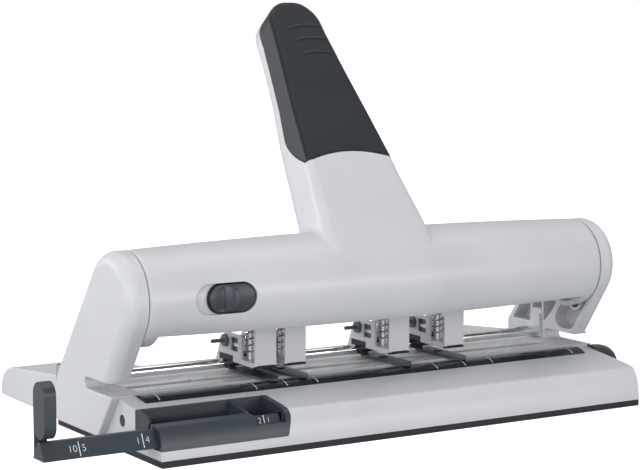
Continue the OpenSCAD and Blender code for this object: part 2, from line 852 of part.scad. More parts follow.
module head_frame(x) color(pale)
    difference() {
        union() {
            side_slab(x - head_half, x - head_half + wall_t) wall_outline();
            side_slab(x + head_half - wall_t, x + head_half) wall_outline();
            block([x - head_half, head_f0, lip_z + lip_t], [x + head_half, clip_f0, bed_z]);
            block([x - head_half, head_f0, lip_z + lip_t], [x + head_half, head_f0 + wall_t, head_front_z]);
        }
        block([x - head_w, clip_f0, 0], [x + head_w, clip_f1, clip_z1]);
        bar_x(x - head_w, x, knob_f, knob_z, peg_r + run, coarse);
        // the next head's peg has room in the other wall
        bar_x(x, x + head_w, knob_f, knob_z, peg_r + peg_room, coarse);
        translate([x, punch_f - front_y, 0])
            cylinder(h = bed_z + cut, r = pin_r + run);
    }

module stripper(x) color(black)
    difference() {
        block([x - head_half + wall_t, head_f0, lip_z], [x + head_half - wall_t, clip_f0, lip_z + lip_t]);
        translate([x, punch_f - front_y, 0])
            cylinder(h = bed_z + cut, r = pin_r + run);
    }

// Rail clip: its crossbar rides on the rail, and its stem is the paper's back stop
module rail_clip(x) color(black)
    difference() {
        union() {
            block([x - head_half, clip_f0, clip_z0], [x + head_half, clip_f1, clip_z1]);
            block([x - head_half, slot_end, foot_top], [x - head_half + stem_w, rail_f, clip_z0]);
            block([x - head_half, rail_f, rail_z - rail_r / 2], [x + head_half, clip_f1, clip_z0]);
        }
        bar_x(x - head_w, x + head_w, rail_f, rail_z, rail_r + run);
    }

module die_foot(x) color(dark)
    difference() {
        union() {
            block([x - die_half, die_f0 + pointer_l, deck_h + slide],
                [x + die_half, rail_f - rail_r, foot_top]);
            translate([x, -front_y, deck_h + slide])
                linear_extrude(foot_t)
                    polygon([[-die_half, die_f0 + pointer_l], [-pointer_w, die_f0], [pointer_w, die_f0],
                        [die_half, die_f0 + pointer_l]]);
        }
        translate([x, punch_f - front_y, 0])
            cylinder(h = foot_top + cut, r = pin_r + die_gap);
    }

module punch_pin(x) color(chrome)
    translate([x, punch_f - front_y, 0])
        difference() {
            union() {
                translate([0, 0, pin_tip])
                    cylinder(h = collar_top - pin_tip, r = pin_r);
                translate([0, 0, collar_top - collar_h])
                    cylinder(h = collar_h, r = collar_r);
            }
            translate([0, 0, pin_tip - dish])
                cylinder(h = 2 * dish, r1 = pin_r * 1.6, r2 = 0);
        }

// Fixed collar on the left wall, and the peg that slides in it
module release_collar(x) color(dark)
    difference() {
        bar_x(x - head_half - disc_t, x - head_half, knob_f, knob_z, disc_r);
        bar_x(x - head_w, x, knob_f, knob_z, peg_r + run, coarse);
    }

module release_knob(x, l) color(dark) {
    x0 = x - head_half + wall_t + 2 * run;
    bar_x(x - head_half - disc_t - l, x0, knob_f, knob_z, peg_r, coarse);
    bar_x(x0, x0 + wall_t, knob_f, knob_z, peg_flange_r, coarse);
}

// Return spring: one wire whose ends stand up straight from their seats
spring_z0 = bed_z + 2 * run;
spring_z1 = collar_top - collar_h - 2 * run;
end_l = 2 * wire_r;
turn_r = end_l;
coil_len = 360 * curls;
rings = 8 * curls;
sides = 6;
around = turn_r / coil_r * 180 / PI;

// The wire's course as [angle round the pin, height]
wire_path = concat(
    [[0, spring_z0], [0, spring_z0 + end_l]],
    [for (i = [1:2]) [around * (1 - cos(30 * i)), spring_z0 + end_l + turn_r * sin(30 * i)]],
    [for (i = [0:rings]) [around + (coil_len - 2 * around) * i / rings,
        spring_z0 + end_l + turn_r + (spring_z1 - spring_z0 - 2 * end_l - 2 * turn_r) * i / rings]],
    [for (i = [2:-1:1]) [coil_len - around * (1 - cos(30 * i)), spring_z1 - end_l - turn_r * sin(30 * i)]],
    [[coil_len, spring_z1 - end_l], [coil_len, spring_z1]]
);
wire_points = [for (p = wire_path) [coil_r * cos(p[0]), coil_r * sin(p[0]), p[1]]];
wire_n = len(wire_path);

function unit(v) = v / norm(v);
function wire_dir(i) = unit(
    i == 0 || i == 1 ? [0, 0, 1] :
    i >= wire_n - 2 ? [0, 0, 1] :
    wire_points[i + 1] - wire_points[i - 1]
);
function wire_ring(i) = let(
    n = [cos(wire_path[i][0]), sin(wire_path[i][0]), 0],
    t = wire_dir(i),
    b = unit(cross(t, n)),
    m = cross(b, t)
) [for (k = [0:sides - 1]) wire_points[i] + wire_r * (cos(360 * k / sides) * m + sin(360 * k / sides) * b)];

least_gap = min([for (i = [0:wire_n - 1]) for (j = [i + 6:wire_n - 1])
    if (j < wire_n) norm(wire_points[i] - wire_points[j])]) - 2 * wire_r;
echo(least_gap = least_gap);

module pin_spring(x) color(chrome)
    translate([x, punch_f - front_y, 0])
        polyhedron(
            points = [for (i = [0:wire_n - 1]) each wire_ring(i)],
            faces = concat(
                [for (i = [0:wire_n - 2]) for (k = [0:sides - 1])
                    [i * sides + k, i * sides + (k + 1) % sides, (i + 1) * sides + k]],
                [for (i = [0:wire_n - 2]) for (k = [0:sides - 1])
                    [i * sides + (k + 1) % sides, (i + 1) * sides + (k + 1) % sides, (i + 1) * sides + k]],
                [for (k = [1:sides - 2]) [0, k + 1, k]],
                [for (k = [1:sides - 2])
                    [(wire_n - 1) * sides, (wire_n - 1) * sides + k, (wire_n - 1) * sides + k + 1]]
            )
        );

base_shell();
rear_outriggers();
bottom_tray();
rubber_feet();
left_side_frame();
right_side_frame();
frame_screws();
pivot_studs();
front_deck_strip();
rear_deck_strip();
head_rail();
rail_blocks();
storage_tray();
scale_roller();
roller_knob();
ruler();
paper_stop();
lever_barrel();
grip_pad();
press_rod();
press_yoke();
lock_slider();
head_frame(head_x[0]);  // head_frame_1
head_frame(head_x[1]);  // head_frame_2
head_frame(head_x[2]);  // head_frame_3
head_frame(head_x[3]);  // head_frame_4
rail_clip(head_x[0]);  // rail_clip_1
rail_clip(head_x[1]);  // rail_clip_2
rail_clip(head_x[2]);  // rail_clip_3
rail_clip(head_x[3]);  // rail_clip_4
die_foot(head_x[0]);  // die_foot_1
die_foot(head_x[1]);  // die_foot_2
die_foot(head_x[2]);  // die_foot_3
die_foot(head_x[3]);  // die_foot_4
stripper(head_x[0]);  // stripper_1
stripper(head_x[1]);  // stripper_2
stripper(head_x[2]);  // stripper_3
stripper(head_x[3]);  // stripper_4
punch_pin(head_x[0]);  // punch_pin_1
punch_pin(head_x[1]);  // punch_pin_2
punch_pin(head_x[2]);  // punch_pin_3
punch_pin(head_x[3]);  // punch_pin_4
pin_spring(head_x[0]);  // pin_spring_1
pin_spring(head_x[1]);  // pin_spring_2
pin_spring(head_x[2]);  // pin_spring_3
pin_spring(head_x[3]);  // pin_spring_4
release_collar(head_x[0]);  // release_collar_1
release_collar(head_x[1]);  // release_collar_2
release_collar(head_x[2]);  // release_collar_3
release_collar(head_x[3]);  // release_collar_4
release_knob(head_x[0], peg_l[0]);  // release_knob_1
release_knob(head_x[1], peg_l[1]);  // release_knob_2
release_knob(head_x[2], peg_l[2]);  // release_knob_3
release_knob(head_x[3], peg_l[3]);  // release_knob_4
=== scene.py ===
# %% [markdown]
# # A four-hole lever punch in light grey plastic
# The imported CAD model comes in first, as the fixed frame that every piece hangs on. Its nodes are
# true in size, so this file gives them finishes, and makes anew only the pieces whose soft
# mouldings or printed scales a CAD solid shows too plainly.

# %% Frame
import bmesh
import bpy
import json
import numpy as np
from math import radians, pi
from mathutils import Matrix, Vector


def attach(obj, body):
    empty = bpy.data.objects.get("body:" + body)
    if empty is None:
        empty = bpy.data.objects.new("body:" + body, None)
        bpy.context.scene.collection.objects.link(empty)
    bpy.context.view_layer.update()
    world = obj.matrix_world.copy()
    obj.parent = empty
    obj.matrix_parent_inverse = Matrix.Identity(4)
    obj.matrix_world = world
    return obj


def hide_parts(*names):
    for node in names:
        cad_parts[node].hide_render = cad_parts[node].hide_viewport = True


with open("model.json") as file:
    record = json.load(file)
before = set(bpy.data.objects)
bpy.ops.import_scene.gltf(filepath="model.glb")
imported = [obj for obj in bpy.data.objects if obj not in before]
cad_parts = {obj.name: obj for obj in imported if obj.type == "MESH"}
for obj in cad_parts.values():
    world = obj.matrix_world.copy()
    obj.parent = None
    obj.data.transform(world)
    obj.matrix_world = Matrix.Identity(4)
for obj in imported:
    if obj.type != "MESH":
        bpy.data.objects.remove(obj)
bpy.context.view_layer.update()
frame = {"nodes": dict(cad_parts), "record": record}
nodes = frame["nodes"]
MM = 0.001
FRONT = 103.0  # the base's front edge lies this far in front of the origin, in mm
print("nodes in the frame:", len(nodes))

# %% [markdown]
# ## Camera
# The photograph was taken from the left of the machine, slightly above it, with a long lens. The
# distance was worked out from lines of the base and the side frames that run away from the lens.

# %% Camera
camera_data = bpy.data.cameras.new("camera")
camera_data.sensor_width = 36
camera_data.sensor_fit = "HORIZONTAL"
camera_data.lens = 114.86
camera_data.clip_end = 20
camera = bpy.data.objects.new("camera", camera_data)
camera.location = (-0.6082, -0.9954, 0.2333)
camera.rotation_euler = (radians(90 - 6.61), 0, radians(-31.48))
bpy.context.scene.collection.objects.link(camera)
bpy.context.scene.camera = camera
bpy.context.scene.view_settings.view_transform = "Standard"

# %% [markdown]
# ## Finishes
# A moulded housing is never one flat colour: the mould is spark-eroded, so the skin has a fine
# grain, and gloss and tone drift a little from place to place. One node group makes those masks,
# and each finish mixes its own colours with them.

# %% Moulded skin, shared by the plastics
def group_socket(group, name, kind, way, value=None):
    """Adds one socket to a node group's interface."""
    s = group.interface.new_socket(name=name, in_out=way, socket_type=kind)
    if value is not None:
        s.default_value = value
    return s


def make_grain_group():
    """Fine grain as a normal, and two slow drifts as masks, all from object coordinates."""
    g = bpy.data.node_groups.new("moulded_grain", "ShaderNodeTree")
    group_socket(g, "Size", "NodeSocketFloat", "INPUT", 2500.0)
    group_socket(g, "Depth", "NodeSocketFloat", "INPUT", 0.2)
    group_socket(g, "Normal", "NodeSocketVector", "OUTPUT")
    group_socket(g, "Drift", "NodeSocketFloat", "OUTPUT")
    group_socket(g, "Speckle", "NodeSocketFloat", "OUTPUT")
    put, out = g.nodes.new("NodeGroupInput"), g.nodes.new("NodeGroupOutput")
    coord = g.nodes.new("ShaderNodeTexCoord")
    fine = g.nodes.new("ShaderNodeTexNoise")
    fine.inputs["Detail"].default_value = 4
    slow = g.nodes.new("ShaderNodeTexNoise")
    slow.inputs["Scale"].default_value = 22
    slow.inputs["Detail"].default_value = 3
    bump = g.nodes.new("ShaderNodeBump")
    bump.inputs["Distance"].default_value = 0.0001
    link = g.links.new
    link(coord.outputs["Object"], fine.inputs["Vector"])
    link(coord.outputs["Object"], slow.inputs["Vector"])
    link(put.outputs["Size"], fine.inputs["Scale"])
    link(put.outputs["Depth"], bump.inputs["Strength"])
    link(fine.outputs["Fac"], bump.inputs["Height"])
    link(bump.outputs["Normal"], out.inputs["Normal"])
    link(slow.outputs["Fac"], out.inputs["Drift"])
    link(fine.outputs["Fac"], out.inputs["Speckle"])
    return g


grain_group = make_grain_group()


def mixed(tree, factor, a, b):
    """A colour mix whose factor is an output socket."""
    m = tree.nodes.new("ShaderNodeMix")
    m.data_type = "RGBA"
    m.inputs["A"].default_value = (*a, 1)
    m.inputs["B"].default_value = (*b, 1)
    tree.links.new(factor, m.inputs["Factor"])
    return m.outputs["Result"]


def spread(tree, value, low, high, to_low, to_high):
    """Maps a mask to another range."""
    r = tree.nodes.new("ShaderNodeMapRange")
    for name, v in (("From Min", low), ("From Max", high), ("To Min", to_low), ("To Max", to_high)):
        r.inputs[name].default_value = v
    tree.links.new(value, r.inputs["Value"])
    return r.outputs["Result"]


def moulded(name, dark, pale, rough, size=2500.0, depth=0.2, coat=0.0, specular=0.5):
    """A moulded plastic: grain for the normal, drift for tone and gloss."""
    m = bpy.data.materials.new(name)
    m.use_nodes = True
    t = m.node_tree
    shader = t.nodes["Principled BSDF"]
    g = t.nodes.new("ShaderNodeGroup")
    g.node_tree = grain_group
    g.inputs["Size"].default_value = size
    g.inputs["Depth"].default_value = depth
    drift = spread(t, g.outputs["Drift"], 0.3, 0.7, 0, 1)
    gloss = spread(t, g.outputs["Speckle"], 0.2, 0.8, rough - 0.04, rough + 0.06)
    t.links.new(mixed(t, drift, dark, pale), shader.inputs["Base Color"])
    t.links.new(gloss, shader.inputs["Roughness"])
    t.links.new(g.outputs["Normal"], shader.inputs["Normal"])
    shader.inputs["Coat Weight"].default_value = coat
    shader.inputs["Coat Roughness"].default_value = 0.2
    shader.inputs["Specular IOR Level"].default_value = specular
    return m


def metal(name, dark, pale, rough, size=900.0, depth=0.05, metallic=1.0):
    """A drawn or plated steel: the same masks, with a metallic shader."""
    m = moulded(name, dark, pale, rough, size, depth)
    m.node_tree.nodes["Principled BSDF"].inputs["Metallic"].default_value = metallic
    return m


# name, how it is made, its darker and paler colour, roughness, and what differs from the usual
FINISHES = (
    ("housing_plastic", moulded, (0.53, 0.54, 0.57), (0.57, 0.58, 0.61), 0.36, {"coat": 0.15}),
    ("frame_plastic", moulded, (0.53, 0.54, 0.57), (0.57, 0.58, 0.61), 0.4, {}),
    ("rim_plastic", moulded, (0.013, 0.015, 0.02), (0.018, 0.02, 0.027), 0.45, {"specular": 0.35}),
    ("grip_rubber", moulded, (0.006, 0.009, 0.013), (0.009, 0.013, 0.018), 0.42,
     {"size": 1800.0, "depth": 0.3, "specular": 0.36}),
    ("tray_plastic", moulded, (0.022, 0.033, 0.043), (0.029, 0.041, 0.053), 0.36, {}),
    ("roller_plastic", moulded, (0.012, 0.018, 0.026), (0.016, 0.024, 0.034), 0.18,
     {"size": 600.0, "depth": 0.03}),
    ("black_plastic", moulded, (0.004, 0.004, 0.005), (0.007, 0.007, 0.009), 0.4,
     {"specular": 0.3}),
    ("knob_plastic", moulded, (0.09, 0.1, 0.1), (0.11, 0.12, 0.12), 0.4, {}),
    ("foot_rubber", moulded, (0.012, 0.012, 0.012), (0.02, 0.02, 0.02), 0.75,
     {"size": 1500.0, "depth": 0.4}),
    ("polished_steel", metal, (0.8, 0.81, 0.82), (0.88, 0.89, 0.9), 0.1, {}),
    ("plain_steel", metal, (0.66, 0.66, 0.69), (0.74, 0.74, 0.77), 0.24, {"metallic": 0.7}),
    ("deck_steel", metal, (0.78, 0.79, 0.8), (0.84, 0.85, 0.86), 0.3,
     {"size": 120.0, "depth": 0.004, "metallic": 0.45}),
    ("print_white", moulded, (0.72, 0.73, 0.74), (0.8, 0.81, 0.82), 0.5,
     {"size": 900.0, "depth": 0.05}),
    ("print_grey", moulded, (0.2, 0.21, 0.23), (0.26, 0.27, 0.29), 0.5,
     {"size": 900.0, "depth": 0.05}),
)
finish = {name: make(name, dark, pale, rough, **more)
          for name, make, dark, pale, rough, more in FINISHES}

# %% [markdown]
# ## Finishes on the CAD nodes
# The record says which finish each node takes. The frame's own meshes are left as they are, and
# only their material slots are filled.

# %% Give every node its finish
for part in frame["record"]["subparts"]:
    mesh = nodes[part["node"]].data
    mesh.materials.clear()
    mesh.materials.append(finish[part["material_slot"]])

# %% [markdown]
# ## Helpers for new pieces
# A new surface is a grid: rows run along the piece and columns round it. The places of all points
# come from whole arrays, and one array of indices makes the faces.

# %% From arrays to a piece
def add_piece(name, points, faces, material, body, hides=(), smooth=35, merge=False):
    """A mesh object from points in mm, (x, distance behind the front, height), and a face list."""
    points = np.asarray(points, float).reshape(-1, 3) - (0, FRONT, 0)
    mesh = bpy.data.meshes.new(name)
    mesh.from_pydata((points * MM).tolist(), [], [list(map(int, f)) for f in faces])
    if merge:
        weld(mesh)
    mesh.validate()
    mesh.materials.append(finish[material])
    mesh.shade_smooth()
    mesh.set_sharp_from_angle(angle=radians(smooth))
    o = bpy.data.objects.new(name, mesh)
    bpy.context.scene.collection.objects.link(o)
    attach(o, body)
    if hides:
        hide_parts(*hides)
    return o


def weld(mesh, flat=None):
    """Merges points in one place and, if flat is given, joins faces within that angle."""
    b = bmesh.new()
    b.from_mesh(mesh)
    bmesh.ops.remove_doubles(b, verts=b.verts, dist=2e-6)
    if flat:
        bmesh.ops.dissolve_limit(b, angle_limit=radians(flat), verts=b.verts, edges=b.edges)
    b.to_mesh(mesh)
    b.free()


def grid_faces(rows, columns, start=0, closed=True):
    """Quads between neighbouring rows of a grid, wrapped round the columns if closed."""
    across = np.arange(columns if closed else columns - 1)
    r, c = np.meshgrid(np.arange(rows - 1), across, indexing="ij")
    n = (c + 1) % columns
    low, high = r * columns, (r + 1) * columns
    quads = np.stack([low + c, low + n, high + n, high + c], -1)
    return (quads.reshape(-1, 4) + start).tolist()


def loft(sections, closed=True, ends=True, start=0):
    """Faces of a loft through sections (rows, columns, 3), with an n-gon on both ends."""
    rows, columns = sections.shape[:2]
    faces = grid_faces(rows, columns, start, closed)
    if ends:
        faces.append((np.arange(columns)[::-1] + start).tolist())
        faces.append((np.arange(columns) + start + (rows - 1) * columns).tolist())
    return faces


def soften(o, width, segments=3, angle=30):
    """A small bevel on the sharp edges of a new piece."""
    m = o.modifiers.new("soft edges", "BEVEL")
    m.width, m.segments, m.angle_limit = width * MM, segments, radians(angle)


def turned(profile, f, z, steps=96):
    """Sections of a body turned about X at (f, z): profile holds (x, radius) pairs."""
    a = np.linspace(0, 2 * pi, steps, endpoint=False)
    x, r = np.asarray(profile, float).T
    return np.stack([np.broadcast_to(x[:, None], (len(x), steps)), f + r[:, None] * np.cos(a),
                     z + r[:, None] * np.sin(a)], -1)[:, ::-1]


# %% [markdown]
# ## Soft edges on moulded and folded pieces
# No real edge is razor sharp, and the narrow highlight along a moulded edge is what tells the eye
# its size. These pieces keep their CAD form: each is a merged copy with a bevel on its sharp edges.

# %% Eased copies
SEAM = (2.7, 3.6)
body_with = {n: b for b, names in frame["record"]["behaviour"]["bodies"].items() for n in names}


def eased(node, width, steps=2, angle=32, weigh=None):
    """A merged copy of a CAD node with bevelled edges, each by weigh(edge)'s share of the width."""
    mesh = nodes[node].data.copy()
    mesh.transform(nodes[node].matrix_world)
    weld(mesh, 0.4)
    if node in ("base_shell", "bottom_tray"):
        # the seam between shell and tray, seen from outside, lies a little above the tray's wall
        for v in mesh.vertices:
            if abs(v.co.z - SEAM[0] * MM) < 1e-5:
                v.co.z = SEAM[1] * MM
            x, f = v.co.x / MM, v.co.y / MM + FRONT
            # the tray's opening in the shell ends where the new tray does
            if node == "base_shell" and -89 < x < -78.4 and f < 30.5:
                v.co.x += float(np.interp(f, [3.3, 30], [1.75, 10.75])) * MM
    if weigh:
        b = bmesh.new()
        b.from_mesh(mesh)
        layers = b.edges.layers.float
        layer = layers.get("bevel_weight_edge") or layers.new("bevel_weight_edge")
        for e in b.edges:
            sharp = len(e.link_faces) == 2 and e.calc_face_angle() > radians(angle)
            e[layer] = weigh(e) if sharp else 0
        b.to_mesh(mesh)
        b.free()
    mesh.shade_smooth()
    mesh.set_sharp_from_angle(angle=radians(angle))
    o = bpy.data.objects.new(node + "_eased", mesh)
    bpy.context.scene.collection.objects.link(o)
    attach(o, body_with[node])
    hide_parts(node)
    m = o.modifiers.new("soft edges", "BEVEL")
    m.width = width * MM
    m.segments = steps
    m.limit_method = "WEIGHT" if weigh else "ANGLE"
    m.angle_limit = radians(angle)
    m.use_clamp_overlap = not weigh
    m.harden_normals = True
    return o


for node, width in (("base_shell", 0.7), ("rear_outriggers", 1.4), ("ruler", 0.35),
                    ("paper_stop", 1.1), ("bottom_tray", 0.4), ("rail_blocks", 0.3),
                    ("roller_knob", 0.4)):
    eased(node, width, 3 if width > 0.6 else 2)
for i in range(1, 5):
    for part, width in (("head_frame", 0.25), ("rail_clip", 0.3), ("die_foot", 0.25),
                        ("release_collar", 0.3), ("release_knob", 0.25)):
        eased(f"{part}_{i}", width)

# %% [markdown]
# ## Storage tray
# The tray is a long cover over the ruler, a pocket behind it and a window over the size marks. The
# cover's front follows the base's own quarter ellipse, a hair inside it, so profiles in depth and
# height are carried along X, with another profile where the window is. The ruler's tunnel and the
# slot for the stop's neck stay open all the way, because both pieces slide through the tray.

# %% Tray
TRAY_X = (-153.85, -98.6, -80.6, -77.4)
TRAY_TOP, TRAY_Z, BACK_TOP = 20.4, 8.4, 25.0
TRAY_FLOOR = 10.9
TRAY_BACK = (28.05, 29.85)  # both faces of the rear wall
SLOT_END = -104.7  # the stop's neck runs in a slot behind the cover, from the left as far as this
TUNNEL_Z = (9.6, 19.48)  # the ruler's tunnel, foot and top
TUNNEL_FRONT, TUNNEL_REAR = (2.74, 7.9), (16.86, 10.9)


def front_f(z):
    """How far the base's front face lies behind its front edge at a height."""
    return 7.5 * (1 - np.sqrt(1 - np.clip((np.asarray(z, float) - 2.7) / 19.3, 0, 1) ** 2)) + 0.15


def top_z(f):
    """Height of the base's surface over the tray at a depth."""
    f = np.asarray(f, float)
    nose = 2.7 + 19.3 * np.sqrt(1 - (1 - np.clip(f / 7.5, 0, 1)) ** 2)
    return np.where(f < 7.5, nose, np.interp(f, [7.5, 12, 36.5], [22, 23, 26])) - 0.15


def carried(name, runs, edge=0.3):
    """Runs of (depth, height) profiles along X, with one profile or one for each place."""
    points, faces = [], []
    for profiles, xs in runs:
        profiles = np.broadcast_to(np.asarray(profiles, float), (len(xs), *np.shape(profiles)[-2:]))
        at = np.broadcast_to(np.asarray(xs, float)[:, None], profiles.shape[:2])
        sections = np.concatenate([at[..., None], profiles], -1)
        faces += loft(sections, start=sum(map(len, points)))
        points.append(sections.reshape(-1, 3))
    o = add_piece(name, np.concatenate(points), faces, "tray_plastic", body_with["storage_tray"],
                  hides=["storage_tray"], smooth=30, merge=True)
    soften(o, edge, 2, 40)


low = np.linspace(TRAY_Z, 15.6, 9)
rise = np.concatenate([low, np.linspace(15.6, TRAY_TOP, 8)[1:]])
front, low_front = (np.stack([front_f(v), v], -1) for v in (rise, low))
pocket = [(17.9, 12.7), (17.9, TRAY_FLOOR), (TRAY_BACK[0], TRAY_FLOOR), (TRAY_BACK[0], BACK_TOP),
          (TRAY_BACK[1], BACK_TOP), (TRAY_BACK[1], TRAY_Z), (17.1, TRAY_Z),
          (TUNNEL_REAR[0], TUNNEL_Z[0])]
over = [(TUNNEL_REAR[1], TUNNEL_Z[1]), (TUNNEL_FRONT[1], TUNNEL_Z[1])]
under = [(TUNNEL_FRONT[0], TUNNEL_Z[0]), (2.2, TRAY_Z)]
carried("tray_cover", [
    (np.concatenate([front, [(13, TRAY_TOP), (13, 16)], over, under]),
     np.linspace(*TRAY_X[:2], 12)),
    (np.concatenate([low_front, [(5.87, 15.6)], under]), TRAY_X[1:3])])
carried("tray_rear", [
    ([(15.4, 15.66), *pocket, (15.4, 12.02)], (TRAY_X[0], SLOT_END)),
    ([(13, 18.5), *pocket, (13, 16)], (SLOT_END, TRAY_X[1])),
    ([(11.5, 18.5), (13, 18.5), *pocket], TRAY_X[1:3])])

# the right wall, whose lower corner is round, stands over the tunnel
CORNER = 5
CORNER_X = TRAY_X[3] - CORNER
foot_z = [TRAY_Z, *TUNNEL_Z]
ends = CORNER_X + CORNER * np.sin(np.linspace(radians(21), pi / 2, 12))
side = []
for x in ends:
    foot = TRAY_Z + CORNER - np.sqrt(max(CORNER ** 2 - (x - CORNER_X) ** 2, 0))
    up = np.linspace(foot, TRAY_TOP, 14)
    back = np.linspace(float(front_f(TRAY_TOP)), TRAY_BACK[1], 12)[1:]
    low_z = np.array([foot, max(foot, TUNNEL_Z[0])])
    side.append(np.concatenate([
        np.stack([front_f(up), up], -1),
        np.stack([back, np.maximum(top_z(back), TRAY_TOP)], -1),
        [(TRAY_BACK[1], foot)],
        np.stack([np.interp(low_z, foot_z, [17.1, *TUNNEL_REAR]), low_z], -1),
        over,
        np.stack([np.interp(low_z, foot_z, [2.2, *TUNNEL_FRONT]), low_z], -1)[::-1]]))
carried("tray_side", [(side, ends)], 0.45)
left = [(15.6, 15.5), (15.6, 21.4), (17, float(top_z(17))), (28.1, 25.0), (28.1, TRAY_FLOOR),
        (17.9, TRAY_FLOOR), (17.9, 12.7)]
carried("tray_left_wall", [(left, (TRAY_X[0], TRAY_X[0] + 1.8))])

# the divider stands askew, clear of the ruler below it
outline = np.array([(13.05, 18.45), (13.05, TRAY_TOP), (28.1, 24.9), (28.1, TRAY_FLOOR),
                    (17.9, TRAY_FLOOR), (17.9, 12.7)])
across = -98.3 - 2.7 * (outline[:, 0] - 13.05) / 15.05
rows = np.stack([np.column_stack([across + wide, outline]) for wide in (0, 1.8)])
divider = add_piece("tray_divider", rows, loft(rows), "tray_plastic", body_with["storage_tray"],
                    smooth=30)
soften(divider, 0.45)

# %% [markdown]
# ## Inside the punch heads
# Three small pieces of each head are too thin for the CAD: the black sole under its front, which
# the paper slides along, the dark latch plate behind the left window, and the latch's bright bar.

# %% Soles, latch plates and bars
HEAD_X = (-64.2, -45.5, 22.6, 60.3)


def soft_block(name, low, high, radius, material, body):
    """A small block with round edges, from two corners."""
    low, high = np.array(low, float), np.array(high, float)
    corner = np.array([[x, y, z] for x in (0, 1) for y in (0, 1) for z in (0, 1)])
    faces = [(0, 1, 3, 2), (4, 6, 7, 5), (0, 4, 5, 1), (2, 3, 7, 6), (0, 2, 6, 4), (1, 5, 7, 3)]
    o = add_piece(name, low + corner * (high - low), faces, material, body, smooth=30)
    soften(o, radius)


for i, x in enumerate(HEAD_X, 1):
    for part, low, high, radius, material in (
            ("head_sole", (-6.6, 51.9, 34.5), (6.6, 54.4, 35.9), 0.3, "black_plastic"),
            ("latch_plate", (-4.7, 70.6, 39.8), (-3.9, 82.1, 49.8), 0.3, "knob_plastic"),
            ("latch_bar", (-5.15, 71.7, 43.3), (-4.65, 79.6, 45.3), 0.2, "plain_steel")):
        soft_block(f"{part}_{i}", (x + low[0], *low[1:]), (x + high[0], *high[1:]), radius,
                   material, f"head_{i}")

# %% [markdown]
# ## Side frames
# The side frames have a big soft round along their outer edge. It runs from the head down the
# arm in one width, and the edges at the paper slot, the foot and inside are only just broken.
# A share that changed along the arm would leave a notch where two edges meet.

# %% Side frames with a large outer round
FRAME_OUT = 158.8
ROUND = 7.0


def frame_share(e):
    """Share of the full round for one edge of a side frame."""
    a, b = (v.co / MM for v in e.verts)
    if min(abs(a.x), abs(b.x)) < FRAME_OUT - 0.01:
        return 0.06
    high = (a.z + b.z) / 2
    deep = (a.y + b.y) / 2 + FRONT
    in_slot = deep < 81 and 28.6 < high < 34.8 and abs(a.z - b.z) < 3.1
    if in_slot or high < 28:
        return 0.12
    return float(np.interp(high, [34, 44, 50], [0.1, 0.8, 1.0]))


for node in ("left_side_frame", "right_side_frame"):
    eased(node, ROUND, 6, 32, frame_share)

# %% [markdown]
# ## Barrel
# The lever's barrel is slightly fuller in the middle, and open underneath, where the press yoke
# works. Its section is a C: out along the skin, round the edge, and back inside the wall. The
# section is carried along X while the radius follows a parabola.

# %% Barrel
AXIS_F, AXIS_Z = 52.0, 78.7
BARREL = 146.3
RING = 138.3


def barrel_radius(x):
    """Full radius in the middle, falling with the square of the distance from it."""
    return 28.1 - 2.7 * (np.asarray(x) / BARREL) ** 2


HOLE_X = (-123.5, -81.5)
HOLE_A = 24.0
RECESS_R = 8.15
PILL_X = (-120.1 + RECESS_R, -84.7 - RECESS_R)
FLOOR = 24.2
WALL = 3
LIP = 0.45
FILLET = 0.25


def barrel_skin():
    """The open length: outer skin and inner skin, with a gap for the slider's recess."""
    x = np.unique(np.concatenate([
        np.linspace(-RING, HOLE_X[0], 12), np.linspace(*HOLE_X, 43),
        np.linspace(HOLE_X[1], RING, 90)]))
    a = np.unique(np.concatenate([
        np.linspace(-20, 180 - HOLE_A, 80), np.linspace(180 - HOLE_A, 180 + HOLE_A, 31),
        np.linspace(180 + HOLE_A, 225, 16)]))
    r = np.broadcast_to(barrel_radius(x)[:, None], (len(x), len(a)))
    radius = np.concatenate([r, r[:, ::-1] - WALL], 1)
    angle = np.radians(np.concatenate([a, a[::-1]]))
    points = np.stack([np.broadcast_to(x[:, None], radius.shape), AXIS_F + radius * np.cos(angle),
                       AXIS_Z + radius * np.sin(angle)], -1)[:, ::-1]
    faces = loft(points)
    quads = np.array([f for f in faces if len(f) == 4])
    mid = points.reshape(-1, 3)[quads].mean(1)
    out = np.hypot(mid[:, 1] - AXIS_F, mid[:, 2] - AXIS_Z) > barrel_radius(mid[:, 0]) - 1
    turn = np.degrees(np.arctan2(mid[:, 2] - AXIS_Z, AXIS_F - mid[:, 1]))
    hole = out & (mid[:, 0] > HOLE_X[0]) & (mid[:, 0] < HOLE_X[1]) & (np.abs(turn) < HOLE_A)
    return points, x, a, quads[~hole].tolist() + [f for f in faces if len(f) != 4]


